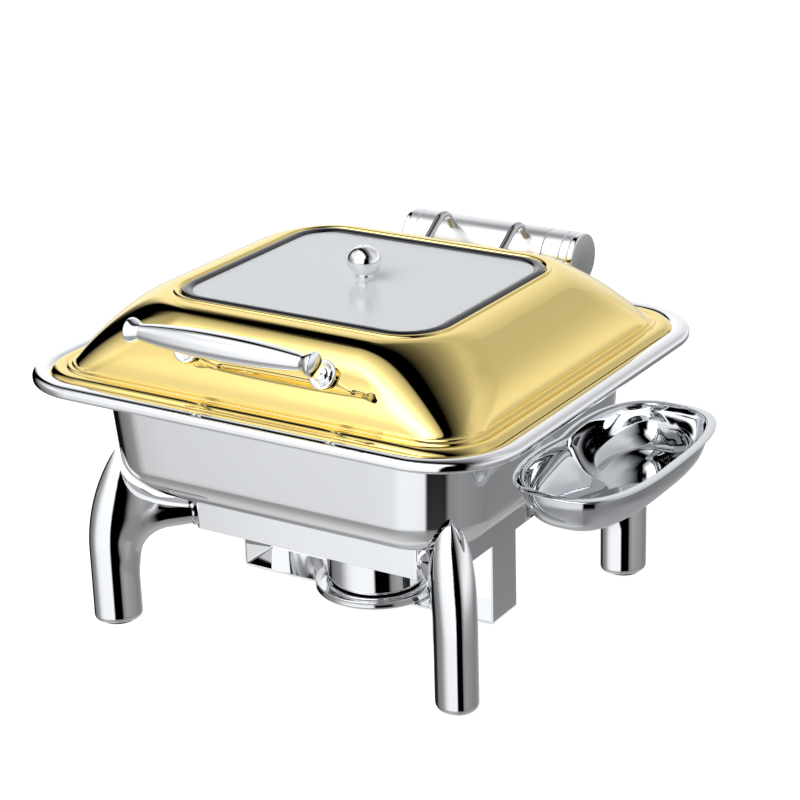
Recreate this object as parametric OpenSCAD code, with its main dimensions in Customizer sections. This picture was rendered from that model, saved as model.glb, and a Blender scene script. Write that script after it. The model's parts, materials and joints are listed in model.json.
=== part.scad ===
// Roll top chafer, two-thirds size: stand on four tusk legs, water pan and food pan,
// hinged lid with a window, fuel burner on a U bracket, and a spoon holder on the right.
// Millimetres, +Z up, +X to the right of the user, +Y to the back (the hinge side).
// The origin is at the table, under the middle of the whole object's outline.

/* [Pan rim] */
// Outer width of the pan's rim
rim_w = 430; // [420:1:440]
// Outer depth of the pan's rim
rim_d = 394.4; // [386:0.2:404]
// Height of the top of the rim's bead above the table
rim_top = 220; // [215:0.5:226]
// Width of the rim that shows outside the lid
rim_border = 16.7; // [14:0.1:20]
// Corner radius of the rim's outer edge
rim_corner = 68; // [60:1:76]

/* [Pans] */
// Width of the water pan's body under the rim
body_w = 340; // [334:1:342]
// Depth of the water pan's body under the rim
body_d = 304; // [298:1:306]
// Corner radius of the water pan's body
body_corner = 52; // [46:1:58]
// Height of the water pan's rounded lower edge
body_round = 37; // [32:1:40]
// Sheet thickness of the pans
pan_sheet = 1.2; // [1:0.1:1.5]
// Width of the food pan over its flange
food_w = 354; // [350:1:354]
// Depth of the food pan over its flange, front to back
food_d = 325; // [321:1:325]
// How deep the food pan is
food_deep = 65; // [40:1:80]

/* [Lid] */
// Height of the top of the window's gasket
window_top = 275.7; // [272:0.1:280]
// Outer width of the window's gasket
gasket_w = 238.3; // [232:0.1:242]
// Outer depth of the window's gasket
gasket_d = 213; // [208:0.1:216]
// Corner radius of the window's gasket
gasket_corner = 36; // [30:1:40]
// Sheet thickness of the lid
lid_sheet = 1.2; // [1:0.1:1.6]
// Corner radius of the lid's outer edge
lid_corner = 47; // [42:1:52]
// Diameter of the lid's knob
knob_d = 27; // [22:0.5:28]

/* [Handle] */
// Length of the bar handle
grip_l = 167; // [160:1:180]
// Largest diameter of the bar handle
grip_d = 21.5; // [18:0.5:24]
// Distance between the two handle posts
post_span = 122; // [110:1:130]
// How far the handle's axis stands in front of the pan's centre
grip_out = 193; // [190:1:200]
// Height of the handle's axis
grip_z = 277; // [272:1:282]

/* [Hinge] */
// Distance of the hinge axis behind the pan's centre
hinge_y = 210; // [208:1:214]
// Height of the hinge axis
hinge_z = 243; // [243:0.5:250]
// Outer diameter of the hinge barrel
barrel_d = 45; // [42:1:46]
// Length of the hinge over its end caps
hinge_l = 168.6; // [160:0.2:176]
// Length of the barrel that turns with the lid
turning_l = 108; // [100:1:112]
// Diameter of the hinge pin
pin_d = 12; // [10:1:14]
// Running clearance round the hinge pin
pin_clear = 0.05; // [0.02:0.01:0.08]
// Distance between the two lid arms
arm_span = 72.4; // [66:0.2:80]
// Diameter of the lid arms
arm_d = 7; // [6:0.5:8]

/* [Stand] */
// Width of the stand frame
frame_w = 247; // [240:1:254]
// Depth of the stand frame
frame_d = 199.4; // [194:0.2:206]
// Height of the frame's ledge above the table
frame_top = 104.6; // [100:0.2:108]
// Height of the frame's skirts
skirt_h = 28.9; // [26:0.1:32]
// Sheet thickness of the frame
frame_sheet = 2; // [1.5:0.1:2.5]
// Corner chamfer of the frame
frame_chamfer = 20.7; // [18:0.1:24]
// Distance of the legs from the centre, left and right
leg_x = 160; // [156:0.5:164]
// Distance of the legs from the centre, front and back
leg_y = 138.2; // [135:0.2:142]
// Thickness of a leg, towards the middle of the object
leg_deep = 39; // [36:0.5:42]
// Thickness of a leg, across
leg_across = 33.2; // [30:0.2:36]
// Height of the legs' tips
leg_tip = 147; // [144:0.5:152]
// Diameter of the legs' elbow arms
elbow_d = 23.4; // [21:0.2:26]

/* [Burner] */
// Width of the burner bracket's flat bar
strap_w = 37.5; // [34:0.5:44]
// Height of the bracket's underside above the table
strap_z = 4.7; // [3:0.1:8]
// Outer diameter of the burner tray
tray_d = 104; // [98:1:110]
// Diameter of the fuel cup
cup_d = 86; // [80:1:92]
// Height of the fuel cup
cup_h = 54; // [44:1:60]

/* [Spoon holder] */
// Width of the spoon holder over its flange
bowl_w = 111; // [104:1:116]
// Length of the spoon holder over its flange
bowl_l = 216; // [204:1:222]
// Height of the spoon holder's flange
bowl_z = 177; // [174:0.5:180]
// Depth of the spoon holder
bowl_deep = 36; // [30:1:44]
// Distance of the spoon holder's middle to the right of the pan's centre
bowl_x = 228.5; // [227:0.5:232]
// Distance of the spoon holder's middle in front of the pan's centre
bowl_forward = 11; // [6:1:14]

/* [Hidden] */
$fn = 48;
steel = "silver";
bright = "gainsboro";
gold = "gold";
black = "dimgray";

// Where the object's outline puts the origin
grip_front = -grip_out - grip_d / 2;
hinge_back = hinge_y + barrel_d / 2;
shift_x = -(bowl_x + bowl_w / 2 - rim_w / 2) / 2;
shift_y = -(hinge_back + grip_front) / 2;

// Rim and lid levels
rim_seat = rim_top - 2.9;
flange_seat = rim_seat - 3.2;
lid_z = rim_seat + 0.3;
lid_w = rim_w - 2 * rim_border;
lid_d = rim_d - 2 * rim_border;
brim = 16.2;
brim_rise = 6.6;
ring_out = 9.5;
ring_z = window_top - 4.6;
dome_z = lid_z + brim_rise;
dome_h = window_top - 1.8 - dome_z;
dome_corner = 35;
dome_bulge = 34;
dome_power = 1.266;
ring_corner = gasket_corner + ring_out;
corner_steps = 6;
dome_steps = 9;

// Ring of points round a rounded rectangle with half sizes hx and hy
function rounded(hx, hy, r, z) =
    [for (q = [0:3]) for (i = [0:corner_steps]) let (a = 90 * q + 90 * i / corner_steps)
        [(q == 0 || q == 3 ? 1 : -1) * (hx - r) + r * cos(a), (q < 2 ? 1 : -1) * (hy - r) + r * sin(a), z]];

// Solid skinned over rings of equal length, closed into a tube or capped at both ends
module skin(rings, closed) {
    n = len(rings[0]);
    m = len(rings);
    last = closed ? m - 1 : m - 2;
    sides = [for (k = [0:last]) for (i = [0:n - 1]) let (k2 = (k + 1) % m, i2 = (i + 1) % n)
        each [[k * n + i, k2 * n + i, k2 * n + i2], [k * n + i, k2 * n + i2, k * n + i2]]];
    caps = closed ? [] : [[for (i = [0:n - 1]) i], [for (i = [n - 1:-1:0]) (m - 1) * n + i]];
    polyhedron(points = [for (ring = rings) each ring], faces = concat(sides, caps), convexity = 8);
}

// Everything is drawn about the pan's centre and then put where the origin belongs
module place() translate([shift_x, shift_y, 0]) children();

// Turns a shape drawn with Y as height so that it stands in the front-to-back plane
module upright() rotate([90, 0, 90]) children();

module both_sides() {
    children();
    mirror([1, 0, 0]) children();
}

// The two screws that hold the hinge on the rim
module at_hinge_screws(z) for (side = [-1, 1]) translate([side * 40, rim_d / 2 - 5.5, z]) children();

// ---- Stand -------------------------------------------------------------------------------

frame_inner = 34;
collar_l = 2.8;
leg_angles = [[-1, -1, 45], [1, -1, 135], [-1, 1, -45], [1, 1, 225]];
screw_d = 6;
elbow_z = frame_top - 16.8;
reach = (leg_x + leg_y - frame_w / 2 - frame_d / 2 + frame_chamfer) / sqrt(2);

// Puts a shape drawn with +X towards the middle at a leg
module at_leg(k) translate([leg_angles[k][0] * leg_x, leg_angles[k][1] * leg_y, 0])
    rotate([0, 0, leg_angles[k][2]]) children();

module frame_outline(inset) {
    c = frame_chamfer - inset * (2 - sqrt(2));
    x = frame_w / 2 - inset;
    y = frame_d / 2 - inset;
    polygon([[x - c, -y], [x, -y + c], [x, y - c], [x - c, y], [c - x, y], [-x, y - c], [-x, c - y], [c - x, -y]]);
}

module stand_frame() color(steel) place() difference() {
    union() {
        translate([0, 0, frame_top - skirt_h]) linear_extrude(skirt_h) difference() {
            frame_outline(0);
            frame_outline(frame_sheet);
        }
        translate([0, 0, frame_top - frame_sheet]) linear_extrude(frame_sheet) difference() {
            frame_outline(0.5);
            square([frame_w - 2 * frame_inner, frame_d - 2 * frame_inner], center = true);
        }
    }
    for (k = [0:3]) at_leg(k) translate([reach - 5, 0, elbow_z]) rotate([0, 90, 0])
        cylinder(d = screw_d + 0.4, h = 12);
}

// A leg's outer edge is an arc that leans in from lean_z up to the tip, its inner edge a scoop
lean_z = 62;
lean = 23.3;
lean_r = (lean * lean + (leg_tip - 5 - lean_z) * (leg_tip - 5 - lean_z)) / (2 * lean);
bend_r = 37;
bend_u = 7.4;
bend_z = elbow_z - bend_r;
under_r = bend_r - elbow_d / 2;
web_u = 31;
tip_u = 7.7;
scoop_u = 21.3;
foot_round = 6;
pad_h = 0.8;
tusk_levels = [pad_h, 2.2, 4.5, 8, 30, 50, 56, 62, 67, 71, 75, 88, 101, 103, 105.5, 108.5, 112, 116, 121, 127,
    133, 138.5, 142.5, 145.2, leg_tip];
tusk_sides = 20;
function outer_u(z) = -leg_deep / 2 + (z < lean_z ? 0 : lean_r - sqrt(lean_r * lean_r - pow(z - lean_z, 2)));
function under(z) = z < bend_z ? leg_deep / 2
    : (z > bend_z + under_r - 1 ? web_u : bend_u + bend_r - sqrt(under_r * under_r - pow(z - bend_z, 2)) - 0.5);
function over(z) = tip_u + scoop_u * exp((frame_top - z) / 10.5);
function inner_u(z) = max(outer_u(z) + 1.2, min(web_u, under(z), over(z)));
function across(z) = leg_across / 2 * (z < 90 ? 1 : sqrt(1 - pow((z - 90) / (leg_tip + 0.9 - 90), 2.4)));
function foot_inset(z) = z > foot_round + pad_h ? 0
    : foot_round * (1 - sqrt(1 - pow((foot_round + pad_h - z) / (foot_round + pad_h), 2))) * 0.6;

module tusk() skin([for (z = tusk_levels) let (u = (outer_u(z) + inner_u(z)) / 2,
    ru = (inner_u(z) - outer_u(z)) / 2 - foot_inset(z), rv = across(z) - foot_inset(z))
    [for (i = [0:tusk_sides - 1]) [u + ru * cos(360 * i / tusk_sides), rv * sin(360 * i / tusk_sides), z]]], false);

module elbow() translate([bend_r + bend_u, 0, bend_z]) {
    rotate([90, 0, 0]) rotate([0, 0, 90]) rotate_extrude(angle = 90) translate([bend_r, 0]) circle(d = elbow_d);
    translate([0, 0, bend_r]) rotate([0, 90, 0]) cylinder(d = elbow_d, h = reach - collar_l - bend_r - bend_u);
}

module leg(k) color(bright) place() at_leg(k) {
    tusk();
    elbow();
}
module leg_front_left() leg(0);
module leg_front_right() leg(1);
module leg_rear_left() leg(2);
module leg_rear_right() leg(3);

module foot_pads() color(black) place() for (k = [0:3]) at_leg(k)
    cylinder(d = leg_across - 6, h = pad_h);

module leg_collars() color(steel) place() for (k = [0:3]) at_leg(k) translate([reach - collar_l, 0, elbow_z])
    rotate([0, 90, 0]) difference() {
        cylinder(d = elbow_d + 2.6, h = collar_l);
        translate([0, 0, -1]) cylinder(d = screw_d, h = collar_l + 2);
    }

// Hexagon screw from inside the frame, with its washer
module hex_screw(d, l, head) {
    cylinder(d = d, h = l);
    translate([0, 0, l]) cylinder(d = 2.1 * d, h = 1);
    translate([0, 0, l + 1]) cylinder(d = 1.9 * d, h = head, $fn = 6);
}
module leg_screws() color(steel) place() for (k = [0:3]) at_leg(k)
    translate([reach - collar_l, 0, elbow_z]) rotate([0, 90, 0]) hex_screw(screw_d, collar_l + frame_sheet, 4);

// ---- Burner ------------------------------------------------------------------------------

strap_t = 2;
strap_x = frame_w / 2 - frame_sheet;
strap_top = frame_top - 8;
burner_y = 3.6;
module at_burner(z) translate([0, burner_y, z]) children();
module burner_bracket() color(steel) place() at_burner(0) translate([-strap_x, -strap_w / 2, strap_z]) difference() {
    cube([2 * strap_x, strap_w, strap_top - strap_z]);
    translate([strap_t, -1, strap_t]) cube([2 * (strap_x - strap_t), strap_w + 2, strap_top]);
}

tray_z = strap_z + strap_t;
tray_h = 7;
module burner_tray() color(bright) place() at_burner(tray_z) rotate_extrude($fn = 96)
    polygon([[0, 0], [tray_d / 2 - 2, 0], [tray_d / 2, 2], [tray_d / 2, tray_h], [tray_d / 2 - 1.6, tray_h],
        [tray_d / 2 - 1.6, 2.6], [tray_d / 2 - 2.6, 1.4], [0, 1.4]]);

cup_z = tray_z + 1.4;
cup_wall = 1;
cover_t = 1.5;
pivot_r = cup_d / 2 - 7;
pivot_a = 150;
mouth_d = 46;
module fuel_cup() color(bright) place() at_burner(cup_z) difference() {
    union() {
        rotate_extrude($fn = 96) polygon([[0, 0], [cup_d / 2 - 3, 0], [cup_d / 2 - 0.9, 0.9], [cup_d / 2, 3],
            [cup_d / 2, cup_h - 2], [cup_d / 2 - 2, cup_h], [mouth_d / 2, cup_h], [mouth_d / 2, cup_h - 1.4],
            [cup_d / 2 - 2.4, cup_h - 1.4], [cup_d / 2 - cup_wall, cup_h - 3], [cup_d / 2 - cup_wall, 3],
            [cup_d / 2 - 3, 1], [0, 1]]);
        rotate([0, 0, pivot_a]) translate([pivot_r, 0, cup_h - 6]) cylinder(d = 9, h = 5);
    }
    rotate([0, 0, pivot_a]) translate([pivot_r, 0, cup_h - 5]) cylinder(d = 4, h = 8);
}
module cup_pivot() color(steel) place() at_burner(cup_z) rotate([0, 0, pivot_a])
    translate([pivot_r, 0, cup_h - 5]) {
        cylinder(d = 4, h = 7.2 + cover_t);
        translate([0, 0, 5.6 + cover_t]) cylinder(d = 7, h = 1.8);
    }
module cup_cover() color(bright) place() at_burner(cup_z + cup_h + 0.3) difference() {
    union() {
        cylinder(d = mouth_d + 8, h = cover_t, $fn = 96);
        rotate([0, 0, pivot_a]) translate([0, -7, 0]) cube([pivot_r, 14, cover_t]);
        rotate([0, 0, pivot_a]) translate([pivot_r, 0, 0]) cylinder(d = 14, h = cover_t);
    }
    rotate([0, 0, pivot_a]) translate([pivot_r, 0, -1]) cylinder(d = 4 + 2 * pin_clear, h = cover_t + 2);
}
module cup_cover_tab() color(black) place() at_burner(cup_z + cup_h + 0.3 + cover_t) {
    cylinder(d = 5, h = 6);
    translate([0, 0, 6]) cylinder(d = 10, h = 3);
}

// ---- Pans --------------------------------------------------------------------------------

// One level of a pan: half sizes set back from the rim's outer edge
function rim_level(in, z) = rounded(rim_w / 2 - in, rim_d / 2 - in, rim_corner - in * 1.25, z);
function body_level(in, r, z) = rounded(body_w / 2 - in, body_d / 2 - in, r, z);
body_taper = 4.5;
body_foot = frame_top + 0.2;
body_under = 57;
round_steps = 7;

// The pan's lower edge, skin is the sheet's depth inwards
function pan_round(skin, up) = [for (i = [0:round_steps]) let (a = 90 * (up ? i : round_steps - i) / round_steps)
    body_level(body_taper + skin + (body_under - skin) * (1 - sin(a)), body_corner - skin - 20 * (1 - sin(a)),
        body_foot + skin + (body_round - skin) * (1 - cos(a)))];

module pan_skin() skin(concat(
    pan_round(0, true),
    [body_level(0, body_corner, rim_seat - 12), body_level(-1.2, body_corner, rim_seat - 6.6),
        body_level(-5, body_corner + 3, rim_seat - 5.4),
        rim_level(6, rim_seat - 5), rim_level(3.6, rim_seat - 5.6), rim_level(2.2, rim_top - 9.6),
        rim_level(0.8, rim_top - 9.2), rim_level(0, rim_top - 7.4), rim_level(0, rim_top - 5.6),
        rim_level(0.8, rim_top - 3.4), rim_level(2.6, rim_top - 1.5), rim_level(5.4, rim_top - 0.3),
        rim_level(8.6, rim_top), rim_level(12, rim_top - 0.8), rim_level(15, rim_top - 2.2),
        rim_level(17, rim_seat), rim_level(33.4, rim_seat), rim_level(34, flange_seat),
        body_level(pan_sheet, body_corner - pan_sheet, flange_seat),
        body_level(pan_sheet, body_corner - pan_sheet, rim_seat - 12)],
    pan_round(pan_sheet, false)), false);

module water_pan() color(bright) place() difference() {
    pan_skin();
    at_hinge_screws(rim_top - 4.5) cylinder(d = 5, h = 8);
}

food_corner = 55;
function food_level(in, z) = rounded(food_w / 2 - in, food_d / 2 - in, food_corner - in * 0.42, z);
food_z = flange_seat + 0.1;
module food_pan() color(steel) place() skin([
    food_level(30, food_z - food_deep), food_level(24, food_z - food_deep + 0.8),
    food_level(19, food_z - food_deep + 4), food_level(16.5, food_z - food_deep + 10),
    food_level(12.8, food_z - 3), food_level(12.2, food_z), food_level(0.4, food_z),
    food_level(0, food_z + 0.5), food_level(0.3, food_z + 1), food_level(11.8, food_z + 1),
    food_level(12.8, food_z + 0.8), food_level(13.8, food_z - 0.2), food_level(17.3, food_z - food_deep + 10.2),
    food_level(19.8, food_z - food_deep + 4.6), food_level(24.4, food_z - food_deep + 1.8),
    food_level(30, food_z - food_deep + 1)], false);

// ---- Hinge -------------------------------------------------------------------------------

cap_l = 5;
sleeve_in = turning_l / 2 + 0.3;
sleeve_out = hinge_l / 2 - cap_l;
saddle_l = 16;
foot_y = hinge_y - 25.5;
foot_back = rim_d / 2 + 1;

// Barrel sections are drawn along X on the hinge axis
module along_hinge(x) translate([x, hinge_y, hinge_z]) rotate([0, 90, 0]) children();

module hinge_bracket() color(steel) place() {
    difference() {
        union() {
            translate([-sleeve_out, foot_y, rim_top + 0.2]) cube([2 * sleeve_out, foot_back + 2 - foot_y, 2]);
            translate([-sleeve_out, foot_back, rim_top - 24]) cube([2 * sleeve_out, 2, 26]);
            both_sides() translate([sleeve_out - saddle_l, foot_y + 2, rim_top + 1])
                cube([saddle_l, foot_back - foot_y, hinge_z - rim_top - 14]);
        }
        along_hinge(-hinge_l) cylinder(d = barrel_d, h = 2 * hinge_l, $fn = 96);
        at_hinge_screws(rim_top - 4) cylinder(d = 5.2, h = 8);
    }
}
module hinge_bracket_screws() color(steel) place() at_hinge_screws(rim_top - 4.5) {
    cylinder(d = 5, h = 7);
    translate([0, 0, 6.7]) cylinder(d = 9, h = 2);
}

module sleeve() difference() {
    along_hinge(sleeve_in) cylinder(d = barrel_d, h = sleeve_out - sleeve_in, $fn = 96);
    along_hinge(sleeve_in - 1) cylinder(d = pin_d, h = hinge_l);
}
module hinge_sleeve_right() color(bright) place() sleeve();
module hinge_sleeve_left() color(bright) place() mirror([1, 0, 0]) sleeve();

module cap() along_hinge(sleeve_out) difference() {
    rotate_extrude($fn = 96) polygon([[0, 0], [barrel_d / 2, 0], [barrel_d / 2, cap_l - 1],
        [barrel_d / 2 - 1, cap_l], [0, cap_l]]);
    translate([0, 0, -1]) cylinder(d = pin_d, h = 3);
}
module hinge_cap_right() color(steel) place() cap();
module hinge_cap_left() color(steel) place() mirror([1, 0, 0]) cap();

module hinge_pin() color(steel) place() along_hinge(-sleeve_out - 2) cylinder(d = pin_d, h = 2 * sleeve_out + 4);

// A lid arm rises from the barrel at arm_up, turns over and falls through the lid's back wall
arm_up = 128;
arm_turn = 85;
arm_bend = 12;
arm_root = 16;
arm_rise = 43.9;
arm_fall = 54;
arm_sides = 24;
arm_steps = 10;
arm_ease = arm_bend * tan(arm_turn / 2);

module arm_holes() for (x = [-1, 1]) translate([x * arm_span / 2, hinge_y, hinge_z]) upright()
    rotate([0, 0, arm_up]) translate([arm_root, 0, 0]) rotate([0, 90, 0]) cylinder(d = arm_d, h = barrel_d);

module hinge_barrel() color(bright) place() difference() {
    along_hinge(-turning_l / 2) cylinder(d = barrel_d, h = turning_l, $fn = 96);
    along_hinge(-hinge_l) cylinder(d = pin_d + 2 * pin_clear, h = 2 * hinge_l);
    along_hinge(-26) cylinder(d = 30, h = 52);
    arm_holes();
}

// Damper ring in the hollow of the barrel, sliding round the pin
module hinge_damper() color(black) place() along_hinge(-24) difference() {
    cylinder(d = 29.6, h = 48);
    translate([0, 0, -1]) cylinder(d = pin_d + 2 * pin_clear, h = 50);
}

// Ring round the rod at distance y, z from the hinge axis, where the rod points along heading
function arm_ring(y, z, heading) = [for (i = [0:arm_sides - 1]) let (a = 360 * i / arm_sides)
    [arm_d / 2 * cos(a), y + sin(heading) * arm_d / 2 * sin(a), z - cos(heading) * arm_d / 2 * sin(a)]];
// Ring after a straight run out from the hinge axis or from the rod's corner
function arm_run(l, y, z, heading) = arm_ring(y + l * cos(heading), z + l * sin(heading), heading);
corner_y = arm_rise * cos(arm_up);
corner_z = arm_rise * sin(arm_up);
turn_y = (arm_rise - arm_ease) * cos(arm_up) - arm_bend * sin(arm_up);
turn_z = (arm_rise - arm_ease) * sin(arm_up) + arm_bend * cos(arm_up);
module arm() skin(concat(
    [arm_run(arm_root, 0, 0, arm_up)],
    [for (i = [0:arm_steps]) let (h = arm_up + arm_turn * i / arm_steps)
        arm_ring(turn_y + arm_bend * sin(h), turn_z - arm_bend * cos(h), h)],
    [arm_run(arm_fall, corner_y, corner_z, arm_up + arm_turn)]), false);
module at_arm(side) translate([side * arm_span / 2, hinge_y, hinge_z]) children();
module arm_left() color(bright) place() at_arm(-1) arm();
module arm_right() color(bright) place() at_arm(1) arm();

// Runs along the falling part of an arm, from its corner
module on_arm(out) upright() rotate([0, 0, arm_up]) translate([arm_rise, 0, 0])
    rotate([0, 0, arm_turn]) translate([out, 0, 0]) rotate([0, 90, 0]) children();
arm_wall = 41.4;
module arm_nut_pair() {
    on_arm(arm_wall - 3.4) ring(15, arm_d, 1.6);
    on_arm(arm_wall + 3.2) ring(15, arm_d, 1.6);
    on_arm(arm_wall + 4.8) difference() {
        cylinder(d = 13, h = 5, $fn = 6);
        translate([0, 0, -1]) cylinder(d = arm_d, h = 8);
    }
}
module ring(outer, inner, h) difference() {
    cylinder(d = outer, h = h);
    translate([0, 0, -1]) cylinder(d = inner, h = h + 2);
}
module arm_nuts() color(steel) place() for (side = [-1, 1]) at_arm(side) arm_nut_pair();

// ---- Lid ---------------------------------------------------------------------------------

// Brim levels: distance in from the lid's edge and height above its underside
brim_shape = [[0.4, 0], [0, 0.5], [0.1, 1.4], [3, 1.9], [4.1, 1.2], [5.2, 2.4], [6.8, 4.2], [8.8, 5], [11, 4.6],
    [12.6, 3.4], [13.5, 3.3], [14.4, 4.6], [15.6, 5.2]];
function lid_level(in, z) = rounded(lid_w / 2 - in, lid_d / 2 - in, lid_corner - in, lid_z + z);
function dome_level(t, skin) = let (c = pow(cos(90 * t), dome_power), s = pow(sin(90 * t), dome_power),
    in = skin * cos(90 * t), ox = gasket_w / 2 + ring_out, oy = gasket_d / 2 + ring_out)
    rounded(ox + (lid_w / 2 - brim - ox) * c - in, oy + (lid_d / 2 - brim - oy) * c - in,
        dome_corner + (ring_corner - dome_corner) * (1 - c) + dome_bulge * sin(180 * t) - in,
        dome_z + dome_h * s - skin * sin(90 * t));
function gasket_level(in, z) =
    rounded(gasket_w / 2 - in, gasket_d / 2 - in, gasket_corner - in, z);

module lid_solid() skin(concat(
    [for (p = brim_shape) lid_level(p[0], p[1])],
    [for (i = [0:dome_steps]) dome_level(i / dome_steps, 0)],
    [gasket_level(-8.6, window_top - 1.3), gasket_level(-7.5, window_top - 1), gasket_level(-1, window_top - 1),
        gasket_level(0.2, window_top - 1.6), gasket_level(0.2, ring_z), gasket_level(11, ring_z),
        gasket_level(11, ring_z - lid_sheet), gasket_level(-1.2, ring_z - lid_sheet)],
    [for (i = [dome_steps:-1:0]) dome_level(i / dome_steps, lid_sheet)],
    [lid_level(brim + lid_sheet, 2), lid_level(brim + lid_sheet - 1, 0)]), true);

module lid_shell() color(gold) place() difference() {
    lid_solid();
    for (side = [-1, 1]) {
        at_arm(side) on_arm(arm_wall - 8) cylinder(d = arm_d, h = 22);
        at_post(side) translate([0, 0, -10]) cylinder(d = 5, h = 20);
    }
}

gasket_in = 7;
module rounded_plate(w, d, r) {
    square([w - 2 * r, d], center = true);
    square([w, d - 2 * r], center = true);
    for (x = [-1, 1]) for (y = [-1, 1]) translate([x * (w / 2 - r), y * (d / 2 - r)]) circle(r = r);
}
module window_gasket() color(black) place() translate([0, 0, ring_z + 0.1]) linear_extrude(window_top - ring_z - 0.1)
    difference() {
        rounded_plate(gasket_w - 1, gasket_d - 1, gasket_corner - 0.5);
        rounded_plate(gasket_w - 2 * gasket_in, gasket_d - 2 * gasket_in, gasket_corner - gasket_in);
    }
glass_z = ring_z + 0.1;
glass_t = 3.6;
module window_glass() color("lightblue", 0.35) place() translate([0, 0, glass_z]) difference() {
    linear_extrude(glass_t) rounded_plate(gasket_w - 2 * gasket_in - 0.2, gasket_d - 2 * gasket_in - 0.2,
        gasket_corner - gasket_in - 0.1);
    translate([0, 0, -1]) cylinder(d = 6, h = glass_t + 2);
}

// Knob: a ball that sits on a short collar
knob_z = glass_z + glass_t;
knob_neck = 1.2;
knob_h = knob_d * 0.92;
knob_steps = 20;
module knob() color(bright) place() translate([0, 0, knob_z]) difference() {
    rotate_extrude($fn = 64) polygon(concat([[0, 0], [7.5, 0], [7.5, 1.2], [6.5, 2]],
        [for (i = [0:knob_steps]) let (a = -62 + 152 * i / knob_steps)
            [knob_d / 2 * cos(a), knob_neck + knob_h / 2 * (1 + sin(a))]]));
    translate([0, 0, -1]) cylinder(d = 6, h = 9);
}
module knob_screw() color(steel) place() translate([0, 0, glass_z - 3.5]) {
    cylinder(d = 14, h = 1.5);
    translate([0, 0, 1.5]) cylinder(d = 18, h = 2);
    cylinder(d = 6, h = glass_t + 3.5 + 8);
}

// Handle: posts stand square to the front wall and meet the bar
post_foot_z = 252;
post_foot_y = -151;
rosette_z = 2;
post_tilt = atan2(grip_z - post_foot_z, grip_out + post_foot_y);
post_l = sqrt(pow(grip_z - post_foot_z, 2) + pow(grip_out + post_foot_y, 2));
module at_post(side) translate([side * post_span / 2, post_foot_y, post_foot_z]) rotate([90 - post_tilt, 0, 0])
    children();

// Half profile of the bar: flared ends, slim necks and a full middle
grip_steps = 24;
function grip_r(t) = let (u = abs(t)) u < 0.86
    ? grip_d / 2 - (grip_d / 2 - grip_d * 0.29) * pow(u / 0.86, 2.4)
    : grip_d * 0.29 + grip_d * 0.17 * sin(90 * min(1, (u - 0.86) / 0.1));
module handle_grip() color(bright) place() difference() {
    translate([0, -grip_out, grip_z]) rotate([0, 90, 0]) rotate_extrude($fn = 64)
        polygon(concat([[0, -grip_l / 2], [grip_d * 0.38, -grip_l / 2]],
            [for (i = [1:2 * grip_steps - 1]) let (t = i / grip_steps - 1) [grip_r(t), t * grip_l / 2]],
            [[grip_d * 0.38, grip_l / 2], [0, grip_l / 2]]));
    for (side = [-1, 1]) at_post(side) translate([0, 0, post_l - grip_d]) cylinder(d = 8, h = grip_d - 3);
}
module handle_posts() color(bright) place() for (side = [-1, 1]) at_post(side) difference() {
    translate([0, 0, rosette_z + 3]) cylinder(d = 8, h = post_l - rosette_z - 6);
    cylinder(d = 5, h = 12);
}
module handle_rosettes() color(bright) place() for (side = [-1, 1]) at_post(side) translate([0, 0, rosette_z])
    rotate_extrude($fn = 64) polygon([[2.5, 0], [10.4, 0], [11.5, 1], [11.5, 2.2], [10.6, 3], [9, 2.4],
        [6.6, 1.8], [4.4, 2], [4, 3], [2.5, 3]]);
module handle_nuts() color(steel) place() for (side = [-1, 1]) at_post(side) {
    translate([0, 0, -6]) cylinder(d = 5, h = 16);
    translate([0, 0, -4.4]) cylinder(d = 12, h = 1.4);
    translate([0, 0, -8.4]) cylinder(d = 10, h = 4, $fn = 6);
}

// ---- Spoon holder ------------------------------------------------------------------------

bowl_sides = 44;
bowl_power = 2 / 2.9;
bowl_sheet = 1.2;
function powered(v, p) = sign(v) * pow(abs(v), p);
// Outline of the bowl set in from its flange, with a shallow waist on the pan's side
function bowl_level(in, waist, z) = [for (i = [0:bowl_sides - 1]) let (a = 360 * i / bowl_sides,
    y = (bowl_l / 2 - in) * powered(sin(a), bowl_power))
    [bowl_x + (bowl_w / 2 - in) * powered(cos(a), bowl_power) + waist * max(0, -cos(a)) * exp(-pow(y / 22, 2)),
        y - bowl_forward, bowl_z + z]];
bowl_lip = 7;
bowl_in = 33;
bowl_curve = 0.79;
bowl_steps = 7;
// One level of the hull, from its flange at 0 down to its floor at 1, in is the sheet's depth
function hull_level(t, in) = bowl_level(bowl_lip + bowl_in * (1 - pow(cos(90 * t), bowl_curve)) + in * cos(90 * t),
    2 + 8 * sin(150 * t), -2 - (bowl_deep - 2) * pow(sin(90 * t), bowl_curve) + in * sin(90 * t));
module spoon_bowl() color(bright) place() skin(concat(
    [for (i = [bowl_steps:-1:0]) hull_level(i / bowl_steps, 0)],
    [bowl_level(1, 1, -1.8), bowl_level(0, 1, -1.6), bowl_level(0.2, 1, -0.8), bowl_level(3, 1, 0),
        bowl_level(7, 2, 0), bowl_level(8.4, 2, -1.4)],
    [for (i = [0:bowl_steps]) hull_level(i / bowl_steps, bowl_sheet)]), false);

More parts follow.
